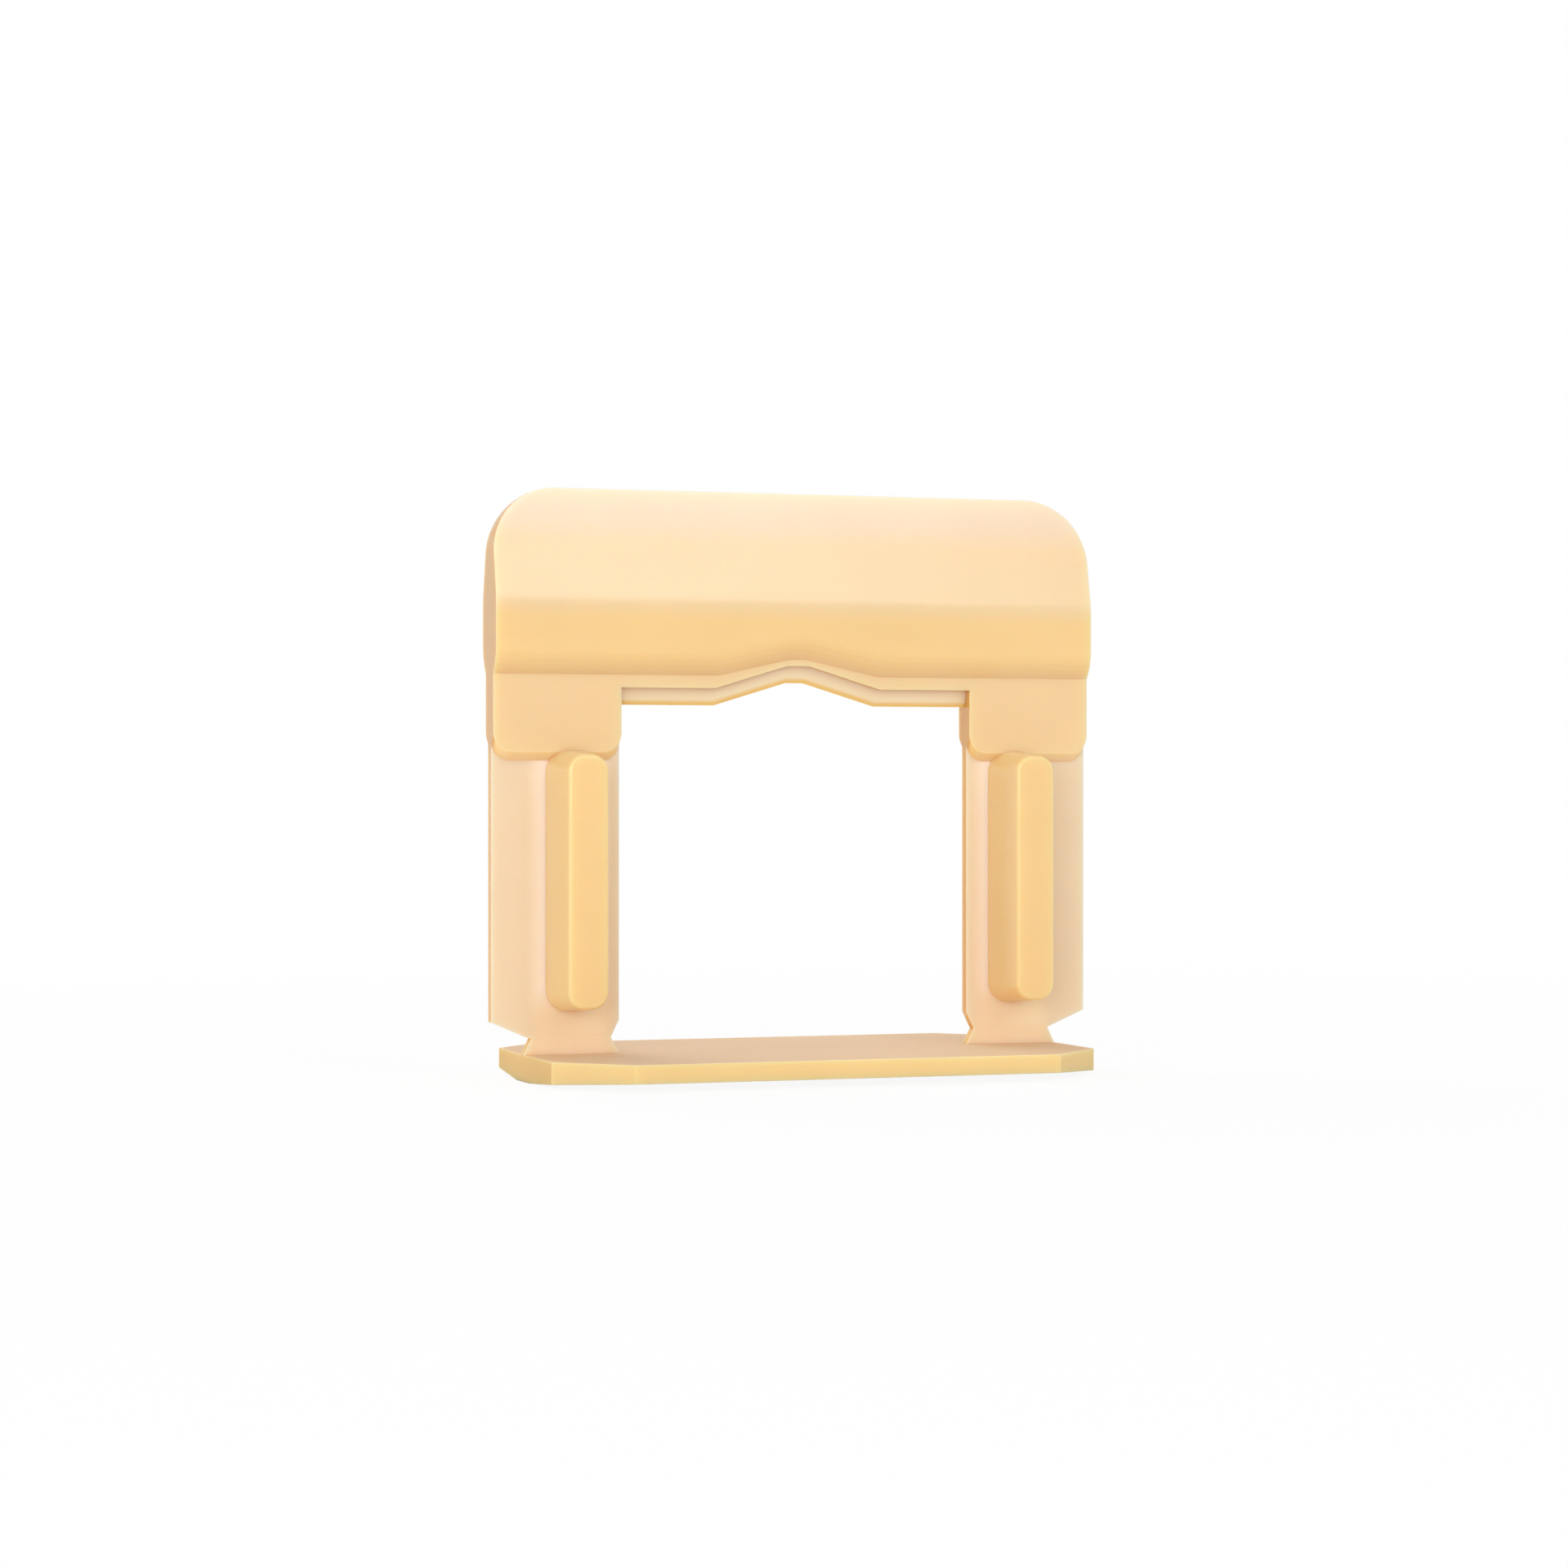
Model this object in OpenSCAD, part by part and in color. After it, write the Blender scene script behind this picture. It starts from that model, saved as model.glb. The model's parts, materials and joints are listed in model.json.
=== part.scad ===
// Tile levelling clip, moulded in one piece.
// Two thin legs stand on a base plate that goes under the tiles. A head joins them at the top.
// A wedge is pushed through the window between the legs, and presses the tiles down on the base.
// After the mortar has set, a kick on the head breaks the legs off at their notched necks.
// Origin: middle of the keel under the base. X runs across the clip, Y through it, Z up.

/* [Clip] */
// Width over the head and the two legs
clip_w = 40; // [32:0.5:60]
// Thickness of the plate that the legs are part of
plate_t = 0.72; // [0.5:0.02:1]
// Width of one leg
leg_w = 8.27; // [7.2:0.01:10]
// Height of the wedge window, from the base's upper face to the crossbar's lower edge
window_h = 21.78; // [18:0.02:30]

/* [Head] */
// Height of the two sloped faces at the top of the head
slope_h = 7.08; // [4:0.02:12]
// Thickness of the head along its top edge
crest_t = 0.4; // [0.2:0.05:1]
// Radius of the head's two top corners
corner_r = 4.15; // [1:0.05:6]
// Thickness of the head at its upright band
band_t = 3.2; // [2.6:0.05:4.5]
// Height of the upright band
band_h = 2.93; // [1:0.01:5]
// Height over which the band curls in towards the crossbar
curl_h = 1.6; // [1:0.05:2]
// Radius of that curl
curl_r = 3; // [2.7:0.05:6]

/* [Crossbar] */
// Height of the flat strip between the curl and the knife edge
strip_h = 0.81; // [0.5:0.01:2]
// Height of the knife edge under the strip
knife_h = 1.06; // [0.6:0.02:1.6]
// Thickness of the knife edge at its tip
knife_t = 0.16; // [0.1:0.02:0.4]
// Width of the arch in the middle of the crossbar
arch_w = 10.8; // [6:0.1:14]
// Width of the level stretch at the top of the arch
arch_flat = 1.2; // [0.4:0.1:3]
// Rise of the arch at the knife edge
arch_rise = 1.45; // [0.5:0.05:2]
// Rise of the arch at the lower edge of the curl
curl_rise = 1.05; // [0.5:0.05:1.6]

/* [Pads] */
// Thickness of the clip across a pad
pad_t = 1.84; // [1.4:0.02:2.4]
// Height of a pad below the curl
pad_h = 5.38; // [3.5:0.02:8]
// Height of the bevel along a pad's lower edge
pad_bevel = 0.54; // [0.2:0.02:1]
// Radius of a pad's lower corners
pad_r = 1.2; // [0.5:0.05:2]

/* [Ribs] */
// Distance from a leg's outer edge to the middle of its rib
rib_inset = 5.12; // [3:0.02:6]
// Width of a rib where it leaves the plate
rib_w = 3.24; // [2.9:0.02:4]
// Height of a rib above the plate's face
rib_reach = 4.04; // [1:0.02:6]
// Draft angle of a rib's walls
rib_draft = 5; // [1:0.25:6]
// Corner radius of a rib where it leaves the plate
rib_r = 1.4; // [0.8:0.05:1.55]
// Height of a rib's lower end above the base
rib_foot = 2.66; // [2.2:0.02:6]
// Length by which a rib laps over the pad above it
rib_lap = 0.7; // [0:0.05:2]

/* [Necks] */
// Height at which a leg starts to narrow towards its neck
shoulder_h = 2.08; // [1.5:0.02:3]
// Height of the neck, where a leg breaks off
neck_h = 1.01; // [0.5:0.01:1.4]
// Depth of the notch in a leg's outer edge
neck_out = 2.56; // [2.1:0.02:3.5]
// Depth of the notch in a leg's inner edge
neck_in = 0.53; // [0.1:0.01:1.5]

/* [Base] */
// Distance by which the base stops short of a leg's outer edge
base_inset = 2.08; // [0.5:0.02:2.5]
// Depth of the base
base_d = 21.4; // [14:0.1:40]
// Size of the base's cut corners
base_cut = 4.1; // [1:0.1:6]
// Thickness of the base along its keel
base_t = 1.66; // [1.2:0.02:3]
// Thickness of the base along its front edge
base_front_t = 1.16; // [0.6:0.02:1.6]
// Thickness of the base along its back edge
base_back_t = 0.92; // [0.6:0.02:1.6]
// Distance by which each end of the base draws in from the legs to its back corner
base_draw = 0.33; // [0.05:0.01:1]
// Width of the flat strip along the keel
keel_w = 3.2; // [1:0.1:6]

/* [Hidden] */
// Levels, from the base's upper face up
knife_z = base_t + window_h;
strip_z = knife_z + knife_h;
fold_z = strip_z + strip_h;
band_z = fold_z + curl_h;
crease_z = band_z + band_h;
crest_z = crease_z + slope_h;
pad_z = fold_z - pad_h;
// Places across the clip
leg_out = clip_w / 2;
leg_in = leg_out - leg_w;
foot_out = leg_out - base_inset;
rib_x = leg_out - rib_inset;
// Centre of the curl, an arc from the band's lower edge to the strip's face
curl_in = (band_t - pad_t) / 2;
curl_chord = norm([curl_in, curl_h]);
curl_lift = sqrt(curl_r * curl_r - curl_chord * curl_chord / 4) / curl_chord;
curl_y = (band_t + pad_t) / 4 - curl_lift * curl_h;
curl_z = (band_z + fold_z) / 2 + curl_lift * curl_in;
// Ends of a rib, and how much its walls lean in over its height
rib_low = base_t + rib_foot;
rib_high = pad_z + rib_lap;
rib_lean = rib_reach * tan(rib_draft);
// Depth at which one solid is let into another, and room past a face for a cut
bite = 0.2;
room = 5;
plastic = "#f2c489";
$fn = 64;

// Lays a section drawn as [depth, height] along X, over a length centred on the middle
module along_x(length) {
    translate([-length / 2, 0, 0])
        rotate([90, 0, 90])
            linear_extrude(length)
                children();
}

// Stands an outline drawn as [width, height] up, centred on the plate
module through(thickness) {
    translate([0, thickness / 2, 0])
        rotate([90, 0, 0])
            linear_extrude(thickness)
                children();
}

// Sweeps a section along the arch: what lies under both slopes and under the level top.
// The slopes start at the arch's feet, at the given level of the section.
module along_arch(level, rise) {
    slope = atan(rise / ((arch_w - arch_flat) / 2));
    intersection() {
        translate([0, 0, rise])
            along_x(2 * arch_w)
                children();
        intersection_for (side = [-1, 1])
            translate([side * arch_w / 2, 0, level])
                rotate([0, side * slope, 0])
                    translate([0, 0, -level])
                        along_x(4 * arch_w)
                            children();
    }
}

// Outline of the head from the front, with its round top corners
module head_outline() {
    inner = leg_out - corner_r;
    translate([-leg_out, fold_z])
        square([clip_w, crest_z - corner_r - fold_z]);
    translate([-inner, fold_z])
        square([2 * inner, crest_z - fold_z]);
    for (side = [-1, 1])
        translate([side * inner, crest_z - corner_r])
            circle(corner_r);
}

// Section of the head: sloped faces over an upright band
module head_section() {
    polygon([
        [-crest_t / 2, crest_z],
        [-band_t / 2, crease_z],
        [-band_t / 2, fold_z],
        [band_t / 2, fold_z],
        [band_t / 2, crease_z],
        [crest_t / 2, crest_z]
    ]);
}

// What is taken off one face under the head, so that the band curls in to the strip
module curl_section() {
    difference() {
        translate([pad_t / 2, fold_z - room])
            square([band_t, curl_h + bite + room]);
        translate([curl_y, curl_z])
            circle(curl_r);
    }
}

// What is open under the crossbar, up to its two-sided knife edge
module window_section() {
    polygon([
        [-band_t - room, knife_z - room],
        [-band_t - room, strip_z],
        [-plate_t / 2, strip_z],
        [-knife_t / 2, knife_z],
        [knife_t / 2, knife_z],
        [plate_t / 2, strip_z],
        [band_t + room, strip_z],
        [band_t + room, knife_z - room]
    ]);
}

// Head with its band curled in on both faces, along the whole width and round the arch,
// and under it the crossbar, cut to its knife edge over the window
module head() {
    difference() {
        intersection() {
            along_x(clip_w)
                head_section();
            through(band_t)
                head_outline();
        }
        for (turn = [0, 180])
            rotate([0, 0, turn]) {
                along_x(clip_w + room)
                    curl_section();
                along_arch(fold_z, curl_rise)
                    curl_section();
            }
        along_arch(knife_z, arch_rise)
            window_section();
    }
    difference() {
        translate([-leg_out, -pad_t / 2, knife_z])
            cube([clip_w, pad_t, fold_z - knife_z + bite]);
        along_x(2 * leg_in)
            window_section();
        along_arch(knife_z, arch_rise)
            window_section();
    }
}

// Pad on the upper end of a leg, proud of both faces, with its lower edge bevelled and rounded
module pad() {
    hull() {
        for (x = [leg_in + pad_r, leg_out - pad_r]) {
            translate([x, 0, pad_z + pad_r])
                rotate([90, 0, 0])
                    cylinder(h = plate_t, r = pad_r, center = true, $fn = 32);
            translate([x, 0, pad_z + pad_bevel + pad_r])
                rotate([90, 0, 0])
                    cylinder(h = pad_t, r = pad_r, center = true, $fn = 32);
        }
        translate([leg_in, -pad_t / 2, fold_z - bite])
            cube([leg_w, pad_t, bite]);
    }
}

// Leg plate, narrowed to its neck just above the base
module leg() {
    through(plate_t)
        polygon([
            [leg_in, fold_z],
            [leg_in, base_t + shoulder_h],
            [leg_in + neck_in, base_t + neck_h],
            [leg_in, base_t],
            [leg_in, base_t - bite],
            [foot_out, base_t - bite],
            [foot_out, base_t],
            [leg_out - neck_out, base_t + neck_h],
            [leg_out, base_t + shoulder_h],
            [leg_out, fold_z]
        ]);
}

// Stiffening rib with drafted walls and round ends, on the front face of a leg
module rib() {
    // Corner centres stay in place over the rib's height, because all walls lean alike
    half_w = rib_w / 2 - rib_r;
    low = rib_low + rib_r;
    high = rib_high - rib_r;
    root = -plate_t / 2;
    for (x = [rib_x - half_w, rib_x + half_w], z = [low, high])
        translate([x, root, z])
            rotate([90, 0, 0])
                cylinder(h = rib_reach, r1 = rib_r, r2 = rib_r - rib_lean);
    translate([rib_x, 0, low])
        linear_extrude(high - low)
            polygon([
                [-rib_w / 2, root],
                [rib_w / 2, root],
                [rib_w / 2 - rib_lean, root - rib_reach],
                [rib_lean - rib_w / 2, root - rib_reach]
            ]);
    translate([rib_x, 0, 0])
        along_x(2 * half_w)
            polygon([
                [root, rib_low],
                [root, rib_high],
                [root - rib_reach, rib_high - rib_lean],
                [root - rib_reach, rib_low + rib_lean]
            ]);
}

// Base plate with cut corners, flat on top and keeled below.
// Behind the legs, where the mould parts, its ends draw in and it thins more.
module base() {
    half_w = foot_out;
    half_d = base_d / 2;
    back_w = half_w - base_draw;
    intersection() {
        linear_extrude(base_t)
            polygon([
                [-half_w, plate_t / 2],
                [-half_w, -half_d + base_cut],
                [-half_w + base_cut, -half_d],
                [half_w - base_cut, -half_d],
                [half_w, -half_d + base_cut],
                [half_w, plate_t / 2],
                [back_w, half_d - base_cut],
                [half_w - base_cut, half_d],
                [-half_w + base_cut, half_d],
                [-back_w, half_d - base_cut]
            ]);
        along_x(2 * half_w)
            polygon([
                [-keel_w / 2, 0],
                [keel_w / 2, 0],
                [half_d, base_t - base_back_t],
                [half_d, base_t],
                [-half_d, base_t],
                [-half_d, base_t - base_front_t]
            ]);
    }
}

module levelling_clip() {
    color(plastic) {
        base();
        head();
        for (side = [0, 1])
            mirror([side, 0, 0]) {
                leg();
                pad();
                rib();
                mirror([0, 1, 0])
                    rib();
            }
    }
}

levelling_clip();
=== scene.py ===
import json
import math

import bpy
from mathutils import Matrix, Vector

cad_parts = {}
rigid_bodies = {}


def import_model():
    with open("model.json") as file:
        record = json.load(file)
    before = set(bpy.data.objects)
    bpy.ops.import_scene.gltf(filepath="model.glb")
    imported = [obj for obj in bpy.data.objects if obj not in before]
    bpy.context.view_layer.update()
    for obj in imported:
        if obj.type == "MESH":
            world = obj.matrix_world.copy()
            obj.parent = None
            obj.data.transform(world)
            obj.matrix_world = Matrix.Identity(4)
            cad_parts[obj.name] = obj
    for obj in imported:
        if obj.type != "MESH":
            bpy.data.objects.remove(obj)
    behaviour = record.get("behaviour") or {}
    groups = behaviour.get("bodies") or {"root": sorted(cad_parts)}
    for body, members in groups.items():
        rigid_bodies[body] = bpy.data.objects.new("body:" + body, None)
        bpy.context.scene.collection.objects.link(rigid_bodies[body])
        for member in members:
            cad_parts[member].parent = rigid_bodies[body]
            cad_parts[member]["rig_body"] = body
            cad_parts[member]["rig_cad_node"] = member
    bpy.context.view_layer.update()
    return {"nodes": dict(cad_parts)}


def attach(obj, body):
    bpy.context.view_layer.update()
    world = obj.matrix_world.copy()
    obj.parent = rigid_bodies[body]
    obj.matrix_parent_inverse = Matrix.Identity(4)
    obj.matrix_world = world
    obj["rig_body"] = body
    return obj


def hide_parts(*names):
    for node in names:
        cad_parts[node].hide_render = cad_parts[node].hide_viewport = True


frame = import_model()


# The clip
# One injection moulding in polypropylene: base plate, two ribbed legs, crossbar and head in a single shot.
# The mould leaves every edge with a small radius, and a wider blend along the crease of the head.
# Nothing is fixed to it: the base lies under the tiles, and the rest is kicked off once the mortar is hard.
EDGE_RADIUS = 0.00009
RIB_RADIUS = 0.0002
CREASE_BLEND = 0.0005
BLEND_SEGMENTS = 4
EDGE_SEGMENTS = 3
# Places on the moulding, in metres: heights over the keel, and distances from the two middle planes
CREASE_HEIGHT = 0.02984
BAND_HALF = 0.0016
RIB_FRONT = 0.0044
RIB_PLACE = 0.01488
RIB_HALF = 0.00162
RIB_LOW = 0.00432
PAD_LOW = 0.01993
KNIFE_LOW = 0.0233
# Corners this near to each other are one corner, and a corner this near to a place lies on it
MERGE_DISTANCE = 0.000001
PLACE_SLACK = 0.00002
# The most that one flat face turns, and the least turn at an edge that shades sharp or that is rounded
FLAT_TURN = math.radians(0.2)
SHARP_TURN = math.radians(35)
ROUNDED_TURN = math.radians(50)

bpy.ops.object.select_all(action="DESELECT")
cad_clip = frame["nodes"]["levelling_clip"]
cad_clip.select_set(True)
bpy.context.view_layer.objects.active = cad_clip
bpy.ops.object.duplicate(linked=False)
clip = bpy.context.view_layer.objects.active
bpy.ops.object.parent_clear(type="CLEAR_KEEP_TRANSFORM")
clip.name = "moulded_clip"
clip.data.name = "moulded_clip"
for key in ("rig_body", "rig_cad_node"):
    del clip[key]

# The copy drops the normals that came with the triangles, which would no longer fit its edges.
# Its loose triangles become one skin, and triangles of one flat face become that face again.
bpy.ops.mesh.customdata_custom_splitnormals_clear()
bpy.ops.object.mode_set(mode="EDIT")
bpy.ops.mesh.select_mode(type="EDGE")
bpy.ops.mesh.select_all(action="SELECT")
bpy.ops.mesh.remove_doubles(threshold=MERGE_DISTANCE)
bpy.ops.mesh.dissolve_limited(angle_limit=FLAT_TURN)
bpy.ops.mesh.select_all(action="DESELECT")
bpy.ops.object.mode_set(mode="OBJECT")

# The crease between the sloped face and the upright band, on both faces
for edge in clip.data.edges:
    ends = [clip.data.vertices[v].co for v in edge.vertices]
    at_crease = all(abs(p.z - CREASE_HEIGHT) < PLACE_SLACK for p in ends)
    on_band = all(abs(abs(p.y) - BAND_HALF) < PLACE_SLACK for p in ends)
    edge.select = at_crease and on_band
bpy.ops.object.mode_set(mode="EDIT")
bpy.ops.mesh.bevel(offset=CREASE_BLEND, offset_type="OFFSET", segments=BLEND_SEGMENTS, affect="EDGES")
bpy.ops.mesh.select_all(action="DESELECT")
bpy.ops.object.mode_set(mode="OBJECT")

# The rim of each rib's outer face, which is softer than the other edges
for edge in clip.data.edges:
    ends = [clip.data.vertices[v].co for v in edge.vertices]
    edge.select = all(abs(abs(p.y) - RIB_FRONT) < PLACE_SLACK for p in ends)
bpy.ops.object.mode_set(mode="EDIT")
bpy.ops.mesh.bevel(offset=RIB_RADIUS, offset_type="OFFSET", segments=BLEND_SEGMENTS, affect="EDGES")
bpy.ops.object.mode_set(mode="OBJECT")

# All other edges that stand out are rounded. Inner corners stay as sharp as the mould's own edges.
# For each edge: the normals of its two faces, and the way from the edge into each face
sides = {}
for face in clip.data.polygons:
    corners = list(face.vertices)
    for start, end in zip(corners, corners[1:] + corners[:1]):
        run = clip.data.vertices[end].co - clip.data.vertices[start].co
        sides.setdefault(frozenset((start, end)), []).append((face.normal, face.normal.cross(run)))
weights = clip.data.attributes.new("bevel_weight_edge", "FLOAT", "EDGE")
for edge in clip.data.edges:
    (one, _), (other, into_other) = sides[frozenset(edge.vertices)]
    stands_out = one.dot(into_other) < 0 and one.angle(other) > ROUNDED_TURN
    weights.data[edge.index].value = 1.0 if stands_out else 0.0

bpy.ops.object.modifier_add(type="BEVEL")
rounding = clip.modifiers[-1]
rounding.width = EDGE_RADIUS
rounding.segments = EDGE_SEGMENTS
rounding.limit_method = "WEIGHT"
rounding.miter_outer = "MITER_ARC"
bpy.ops.object.modifier_apply(modifier=rounding.name)

# The flat faces shade flat, and the rounded edges between them shade smooth
bpy.ops.object.shade_smooth()
bpy.ops.object.mode_set(mode="EDIT")
bpy.ops.mesh.select_all(action="DESELECT")
bpy.ops.mesh.edges_select_sharp(sharpness=SHARP_TURN)
bpy.ops.mesh.mark_sharp()
bpy.ops.object.mode_set(mode="OBJECT")
bpy.ops.object.modifier_add(type="WEIGHTED_NORMAL")
shading = clip.modifiers[-1]
shading.keep_sharp = True
bpy.ops.object.modifier_apply(modifier=shading.name)


def linear(hex_colour):
    """An sRGB hex colour as linear red, green, blue and alpha."""
    channels = [int(hex_colour[i:i + 2], 16) / 255 for i in (1, 3, 5)]
    return [c / 12.92 if c <= 0.04045 else ((c + 0.055) / 1.055) ** 2.4 for c in channels] + [1.0]


def add_node(tree, kind, settings=None, inputs=None, links=None):
    """Adds a node: its own settings, its input values, and links from other nodes' outputs."""
    node = tree.nodes.new(kind)
    for name, value in (settings or {}).items():
        setattr(node, name, value)
    for name, value in (inputs or {}).items():
        node.inputs[name].default_value = value
    for name, (source, output) in (links or {}).items():
        tree.links.new(source.outputs[output], node.inputs[name])
    return node


# Polypropylene, moulded: a waxy, slightly cloudy plastic with a satin skin. Thick parts look deep apricot.
# On the broad faces of the 0.7 mm legs a paler tone is painted light, for light that passes through them as
# through milk glass.
# Over the sloped face above the crease it is a painted reflection of the front soft box.
THICK_TONE = "#f0d094"
THIN_PAINTED_LIGHT_TONE = "#e6d3b8"
ROOT_FOOT_PAINTED_GLOW_TONE = "#f3dcbc"
ROOT_PAINTED_GLOW_TONE = "#fce8dc"
END_PAINTED_LIGHT_TONE = "#d8a860"
UNDER_TONE = "#dfba88"
SEAT_PAINTED_SHADE_TONE = "#e5be94"
# Half thicknesses, in metres: of a wall that passes the most light, of one that passes none, and of a tip
THIN_HALF = 0.00035
THICK_HALF = 0.00125
TIP_HALF = 0.00010
TIP_END = 0.00019
# Heights over the keel, in metres, at which the looks change
SEAT_LIMIT = 0.0018
SKIN_LOW = 0.0017
SKIN_HIGH = 0.0030
PALE_HIGH = 0.0040
CREST_LOW = CREASE_HEIGHT - 0.0013
CREST_HIGH = CREASE_HEIGHT + 0.0002
ROOT_LOW = RIB_LOW - 0.0003
ROOT_HIGH = RIB_LOW + 0.0015
# Distances from the middle of a rib, in metres: to where the painted light beside it ends, and to where its
# own skin ends
GLOW_END = RIB_HALF + 0.0014
RIB_END = RIB_HALF + 0.0004
# Sizes in the melt and in the mould's skin, in metres
CLOUD_SIZE = 0.007
GRAIN_SIZE = 0.0003
GRAIN_DEPTH = 0.00002
LIGHT_DEPTH = 0.0013
# Settings that many nodes share, and the sockets of a colour mix
SMOOTH = {"interpolation_type": "SMOOTHSTEP"}
TIMES = {"operation": "MULTIPLY"}
LARGER = {"operation": "MAXIMUM"}
ABSOLUTE = {"operation": "ABSOLUTE"}
OVER = {"operation": "GREATER_THAN"}
BELOW = {"operation": "LESS_THAN"}
COLOUR = {"data_type": "RGBA"}
SHARE = 0
FIRST = 6
SECOND = 7
MIXED = 2

polypropylene = bpy.data.materials.new("polypropylene_moulded")
polypropylene.use_nodes = True
tree = polypropylene.node_tree
tree.nodes.clear()
place = add_node(tree, "ShaderNodeTexCoord")
spot = add_node(tree, "ShaderNodeSeparateXYZ", links={0: (place, "Object")})
surface = add_node(tree, "ShaderNodeNewGeometry")
facing = add_node(tree, "ShaderNodeSeparateXYZ", links={0: (surface, "True Normal")})

# Half the thickness at a point of the plate or the head is its distance from the middle plane
half = add_node(tree, "ShaderNodeMath", ABSOLUTE, links={0: (spot, "Y")})
thin_and_crest_sheen = add_node(tree, "ShaderNodeMapRange", SMOOTH,
                {"From Min": THIN_HALF, "From Max": THICK_HALF, "To Min": 1.0, "To Max": 0.0},
                {"Value": (half, 0)})
# Painted reflection of the front soft box: the sloped face above the crease takes some of the paler tone
crest_painted_reflection = add_node(tree, "ShaderNodeMapRange", SMOOTH,
                 {"From Min": CREST_LOW, "From Max": CREST_HIGH, "To Min": 0.0, "To Max": 0.4},
                 {"Value": (spot, "Z")})
thin_and_crest_sheen = add_node(tree, "ShaderNodeMath", LARGER, links={0: (thin_and_crest_sheen, 0), 1: (crest_painted_reflection, 0)})
across = add_node(tree, "ShaderNodeMath", ABSOLUTE, links={0: (facing, "Y")})
broad = add_node(tree, "ShaderNodeMapRange", SMOOTH,
                 {"From Min": 0.5, "From Max": 0.95, "To Min": 0.0, "To Max": 1.0},
                 {"Value": (across, 0)})
above = add_node(tree, "ShaderNodeMapRange", SMOOTH,
                 {"From Min": SKIN_LOW, "From Max": PALE_HIGH, "To Min": 0.75, "To Max": 1.0},
                 {"Value": (spot, "Z")})
# Painted light passing through: a paler tone on broad faces, a little less of it near the base
painted_pale_light = add_node(tree, "ShaderNodeMath", TIMES, links={0: (thin_and_crest_sheen, 0), 1: (broad, 0)})
painted_pale_light = add_node(tree, "ShaderNodeMath", TIMES, links={0: (painted_pale_light, 0), 1: (above, 0)})
body = add_node(tree, "ShaderNodeMix", COLOUR,
                {FIRST: linear(THICK_TONE), SECOND: linear(THIN_PAINTED_LIGHT_TONE)}, {SHARE: (painted_pale_light, 0)})

# Beside its ribs and under their lower ends the plate is painted paler still: painted light for light that
# the ribs throw onto it, which also lifts the shade under their ends
from_middle = add_node(tree, "ShaderNodeMath", ABSOLUTE, links={0: (spot, "X")})
off_rib = add_node(tree, "ShaderNodeMath", {"operation": "SUBTRACT"}, {1: RIB_PLACE}, {0: (from_middle, 0)})
off_rib = add_node(tree, "ShaderNodeMath", ABSOLUTE, links={0: (off_rib, 0)})
beside = add_node(tree, "ShaderNodeMapRange", SMOOTH,
                  {"From Min": RIB_HALF, "From Max": GLOW_END, "To Min": 1.0, "To Max": 0.0},
                  {"Value": (off_rib, 0)})
along = add_node(tree, "ShaderNodeMapRange", SMOOTH,
                 {"From Min": ROOT_LOW, "From Max": ROOT_HIGH, "To Min": 0.0, "To Max": 1.0},
                 {"Value": (spot, "Z")})
under_pad = add_node(tree, "ShaderNodeMath", BELOW, {1: PAD_LOW}, {0: (spot, "Z")})
painted_glow = add_node(tree, "ShaderNodeMath", TIMES, links={0: (beside, 0), 1: (under_pad, 0)})
painted_glow = add_node(tree, "ShaderNodeMath", TIMES, links={0: (painted_glow, 0), 1: (painted_pale_light, 0)})
root = add_node(tree, "ShaderNodeMix", COLOUR,
                {FIRST: linear(ROOT_FOOT_PAINTED_GLOW_TONE), SECOND: linear(ROOT_PAINTED_GLOW_TONE)}, {SHARE: (along, 0)})
body = add_node(tree, "ShaderNodeMix", COLOUR,
                links={SHARE: (painted_glow, 0), FIRST: (body, MIXED), SECOND: (root, MIXED)})

# Faces seen end-on are painted a deeper gold: painted light for light that has come a long way along the
# plate.
# On the head this reaches round its corners, and on the base it is weaker.
side = add_node(tree, "ShaderNodeMath", ABSOLUTE, links={0: (facing, "X")})
endwise = add_node(tree, "ShaderNodeMapRange", SMOOTH,
                   {"From Min": 0.75, "From Max": 0.95, "To Min": 0.0, "To Max": 1.0},
                   {"Value": (side, 0)})
corner = add_node(tree, "ShaderNodeMapRange", SMOOTH,
                  {"From Min": 0.2, "From Max": 0.6, "To Min": 0.0, "To Max": 1.0},
                  {"Value": (side, 0)})
on_head = add_node(tree, "ShaderNodeMath", OVER, {1: CREASE_HEIGHT}, {0: (spot, "Z")})
corner = add_node(tree, "ShaderNodeMath", TIMES, links={0: (corner, 0), 1: (on_head, 0)})
endwise = add_node(tree, "ShaderNodeMath", LARGER, links={0: (endwise, 0), 1: (corner, 0)})
past_rib = add_node(tree, "ShaderNodeMapRange", SMOOTH,
                    {"From Min": RIB_HALF, "From Max": RIB_END, "To Min": 0.0, "To Max": 1.0},
                    {"Value": (off_rib, 0)})
end_painted_light = add_node(tree, "ShaderNodeMath", TIMES, links={0: (endwise, 0), 1: (past_rib, 0)})
off_base = add_node(tree, "ShaderNodeMapRange",
                    inputs={"From Min": SKIN_LOW, "From Max": SKIN_HIGH, "To Min": 0.5, "To Max": 1.0},
                    links={"Value": (spot, "Z")})
end_painted_light = add_node(tree, "ShaderNodeMath", TIMES, links={0: (end_painted_light, 0), 1: (off_base, 0)})

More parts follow.
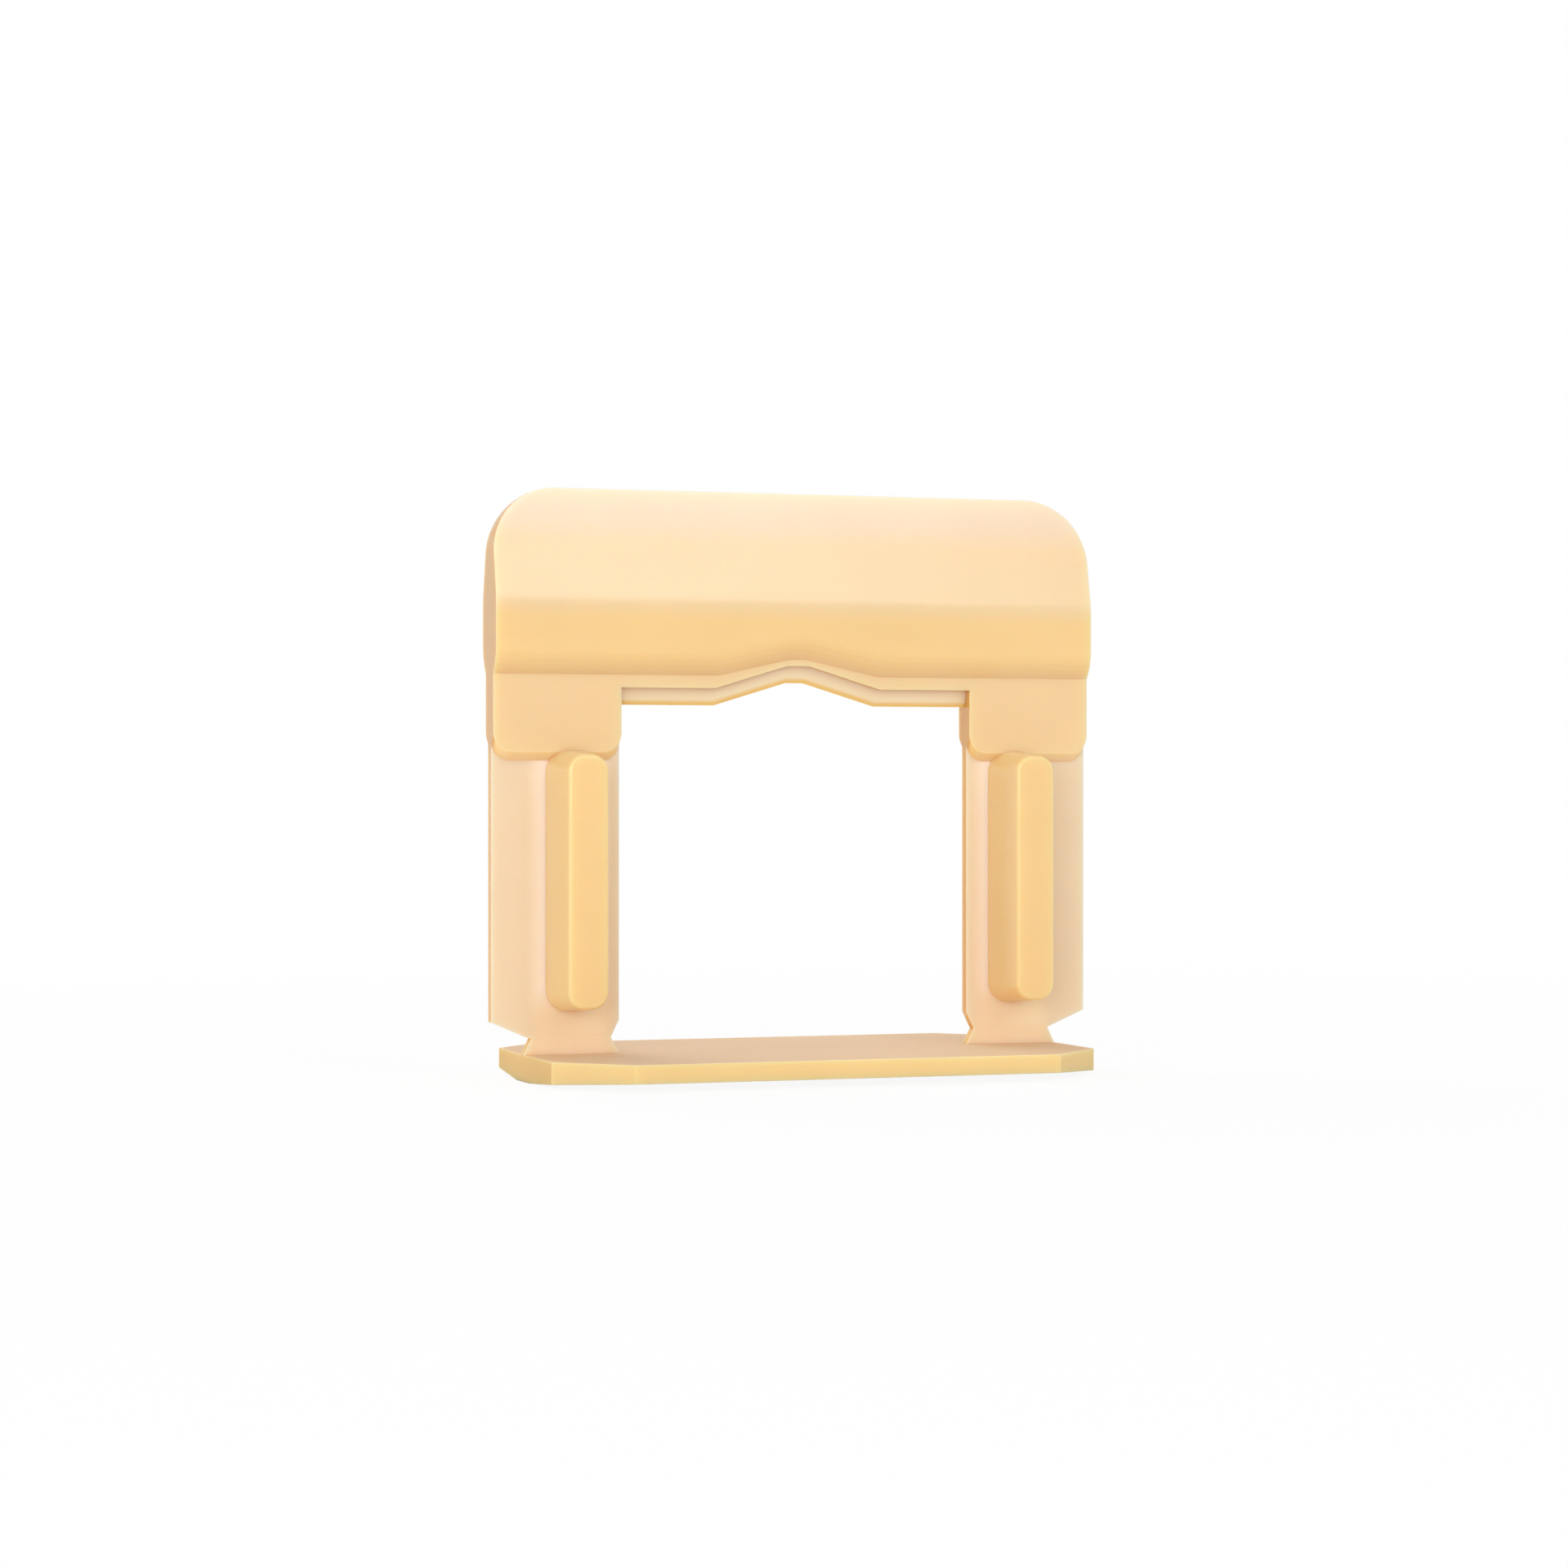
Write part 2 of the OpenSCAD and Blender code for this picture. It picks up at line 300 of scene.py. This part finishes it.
# The tip of the knife edge under the head gets the same painted gold
tip = add_node(tree, "ShaderNodeMapRange", SMOOTH,
               {"From Min": TIP_HALF, "From Max": TIP_END, "To Min": 1.0, "To Max": 0.0},
               {"Value": (half, 0)})
over_foot = add_node(tree, "ShaderNodeMath", OVER, {1: RIB_LOW}, {0: (spot, "Z")})
tip = add_node(tree, "ShaderNodeMath", TIMES, links={0: (tip, 0), 1: (over_foot, 0)})
under_head = add_node(tree, "ShaderNodeMath", {"operation": "SUBTRACT"}, {0: 1.0}, {1: (on_head, 0)})
tip = add_node(tree, "ShaderNodeMath", TIMES, links={0: (tip, 0), 1: (under_head, 0)})
end_painted_light = add_node(tree, "ShaderNodeMath", LARGER, links={0: (end_painted_light, 0), 1: (tip, 0)})
body = add_node(tree, "ShaderNodeMix", COLOUR,
                {SECOND: linear(END_PAINTED_LIGHT_TONE)}, {SHARE: (end_painted_light, 0), FIRST: (body, MIXED)})

# Under the head the curl of the band and the knife edge turn away from the light and look deeper
under = add_node(tree, "ShaderNodeMapRange", SMOOTH,
                 {"From Min": -0.15, "From Max": -0.6, "To Min": 0.0, "To Max": 0.5},
                 {"Value": (facing, "Z")})
over_window = add_node(tree, "ShaderNodeMath", OVER, {1: KNIFE_LOW}, {0: (spot, "Z")})
under = add_node(tree, "ShaderNodeMath", TIMES, links={0: (under, 0), 1: (over_window, 0)})
body = add_node(tree, "ShaderNodeMix", COLOUR,
                {SECOND: linear(UNDER_TONE)}, {SHARE: (under, 0), FIRST: (body, MIXED)})

# The upward face of the base is painted darker and browner: painted shade for the little light that falls on
# it and the dim reflection it shows
seat_painted_shade = add_node(tree, "ShaderNodeMapRange", SMOOTH,
                {"From Min": 0.7, "From Max": 0.95, "To Min": 0.0, "To Max": 1.0},
                {"Value": (facing, "Z")})
on_base = add_node(tree, "ShaderNodeMath", BELOW, {1: SEAT_LIMIT}, {0: (spot, "Z")})
seat_painted_shade = add_node(tree, "ShaderNodeMath", TIMES, links={0: (seat_painted_shade, 0), 1: (on_base, 0)})
body = add_node(tree, "ShaderNodeMix", COLOUR,
                {SECOND: linear(SEAT_PAINTED_SHADE_TONE)}, {SHARE: (seat_painted_shade, 0), FIRST: (body, MIXED)})

# Flow of the melt: faint clouds about 7 mm across
melt = add_node(tree, "ShaderNodeTexNoise", inputs={"Scale": 1 / CLOUD_SIZE, "Detail": 2.0},
                links={"Vector": (place, "Object")})
cloud = add_node(tree, "ShaderNodeMapRange",
                 inputs={"From Min": 0.3, "From Max": 0.7, "To Min": 0.97, "To Max": 1.0},
                 links={"Value": (melt, "Fac")})
tone = add_node(tree, "ShaderNodeMix", {"data_type": "RGBA", "blend_type": "MULTIPLY"},
                {SHARE: 1.0}, {FIRST: (body, MIXED), SECOND: (cloud, "Result")})

# The base keeps a rougher spark-eroded skin that holds mortar. Head and legs are polished.
finish = add_node(tree, "ShaderNodeMapRange",
                  inputs={"From Min": SKIN_LOW, "From Max": SKIN_HIGH, "To Min": 0.7, "To Max": 0.20},
                  links={"Value": (spot, "Z")})
# Mould texture of about 0.3 mm, drawn coarser than the real one so that it shows
grain = add_node(tree, "ShaderNodeTexNoise", inputs={"Scale": 1 / GRAIN_SIZE, "Detail": 1.0},
                 links={"Vector": (place, "Object")})
texture = add_node(tree, "ShaderNodeBump", inputs={"Strength": 0.15, "Distance": GRAIN_DEPTH},
                   links={"Height": (grain, "Fac")})
skin = add_node(
    tree, "ShaderNodeBsdfPrincipled",
    inputs={
        "IOR": 1.49, "Subsurface Weight": 1.0,
        "Subsurface Radius": (1.0, 0.8, 0.6), "Subsurface Scale": LIGHT_DEPTH,
    },
    links={
        "Base Color": (tone, MIXED), "Roughness": (finish, "Result"), "Normal": (texture, "Normal"),
    },
)
add_node(tree, "ShaderNodeOutputMaterial", links={"Surface": (skin, "BSDF")})
clip.data.materials.clear()
clip.data.materials.append(polypropylene)

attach(clip, "root")
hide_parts("levelling_clip")


# Studio floor and backdrop
# A wide sheet of matt white paper lies flat under the clip, with a white surround behind and above it.
# The sheet fades to the white of the surround away from the clip, so that no horizon shows.
FLOOR_SIZE = 6
FADE_START = 0.04
FADE_END = 0.2
ROOM_STRENGTH = 0.64


def seen_by_eye(tree):
    """1 for rays that see the studio straight, in a gloss or through the plastic, and 0 for its light."""
    rays = add_node(tree, "ShaderNodeLightPath")
    seen = add_node(tree, "ShaderNodeMath", LARGER,
                    links={0: (rays, "Is Camera Ray"), 1: (rays, "Is Glossy Ray")})
    return add_node(tree, "ShaderNodeMath", LARGER, links={0: (seen, 0), 1: (rays, "Is Transmission Ray")})


bpy.ops.object.select_all(action="DESELECT")
bpy.ops.mesh.primitive_plane_add(size=FLOOR_SIZE, location=(0, 0, 0))
floor = bpy.context.object
floor.name = "floor"
paper = bpy.data.materials.new("paper_matt_white")
paper.use_nodes = True
tree = paper.node_tree
tree.nodes.clear()
seen = seen_by_eye(tree)
place = add_node(tree, "ShaderNodeTexCoord")
away = add_node(tree, "ShaderNodeVectorMath", {"operation": "LENGTH"}, links={0: (place, "Object")})
fade = add_node(tree, "ShaderNodeMapRange", SMOOTH,
                {"From Min": FADE_START, "From Max": FADE_END, "To Min": 0.92, "To Max": 1.0},
                {"Value": (away, "Value")})
fade = add_node(tree, "ShaderNodeMath", TIMES, links={0: (seen, 0), 1: (fade, 0)})
matt = add_node(tree, "ShaderNodeBsdfDiffuse", inputs={"Color": linear("#fafafa")})
white = add_node(tree, "ShaderNodeEmission", inputs={"Color": linear("#ffffff"), "Strength": 1.0})
sheet = add_node(tree, "ShaderNodeMixShader", links={0: (fade, 0), 1: (matt, 0), 2: (white, 0)})
add_node(tree, "ShaderNodeOutputMaterial", links={"Surface": (sheet, 0)})
floor.data.materials.append(paper)

studio = bpy.data.worlds.new("studio")
studio.use_nodes = True
bpy.context.scene.world = studio
tree = studio.node_tree
tree.nodes.clear()
seen = seen_by_eye(tree)
room = add_node(tree, "ShaderNodeBackground", inputs={"Color": linear("#ffffff"), "Strength": ROOM_STRENGTH})
white = add_node(tree, "ShaderNodeBackground", inputs={"Color": linear("#ffffff"), "Strength": 1.0})
surround = add_node(tree, "ShaderNodeMixShader", links={0: (seen, 0), 1: (room, 0), 2: (white, 0)})
add_node(tree, "ShaderNodeOutputWorld", links={"Surface": (surround, 0)})


# Studio lamps
# Soft boxes: one in front and above, that the sloped face of the head mirrors, a wide one on the left
# that lights the legs and the base, and one behind.
LAMP_DISTANCE = 0.8
LAMP_AIM = Vector((0, 0, 0.018))
for name, turn, tilt, width, height, power in (
    ("front_soft_box", 17, 25, 0.26, 0.24, 0.76),
    ("left_soft_box", -32, 9, 0.60, 0.28, 2.15),
    ("back_soft_box", 200, 42, 0.50, 0.40, 1.65),
):
    around = math.radians(turn)
    up = math.radians(tilt)
    reach = Vector((math.sin(around) * math.cos(up), -math.cos(around) * math.cos(up), math.sin(up)))
    stand = reach * LAMP_DISTANCE
    bpy.ops.object.light_add(type="AREA", location=stand + LAMP_AIM)
    soft_box = bpy.context.object
    soft_box.name = name
    soft_box.rotation_euler = (-stand).to_track_quat("-Z", "Y").to_euler()
    soft_box.data.shape = "RECTANGLE"
    soft_box.data.size = width
    soft_box.data.size_y = height
    soft_box.data.energy = power
    soft_box.visible_camera = False


# Camera
# A full-frame camera with a long lens, set level and to the left of straight ahead.
# Its distance and its lens are the ones that fit the straight edges of the base.
CAMERA_PLACE = (-0.08148, -0.22652, 0.018479)
CAMERA_TURN = math.radians(-19.639)
LEVEL = math.radians(90)
LENS = 86.805
SENSOR_WIDTH = 36
NEAREST_SEEN = 0.01
bpy.ops.object.camera_add(location=CAMERA_PLACE)
camera = bpy.context.object
camera.name = "camera"
camera.rotation_euler = (LEVEL, 0, CAMERA_TURN)
camera.data.lens = LENS
camera.data.sensor_width = SENSOR_WIDTH
camera.data.clip_start = NEAREST_SEEN
bpy.context.scene.camera = camera
bpy.context.scene.view_settings.view_transform = "Standard"
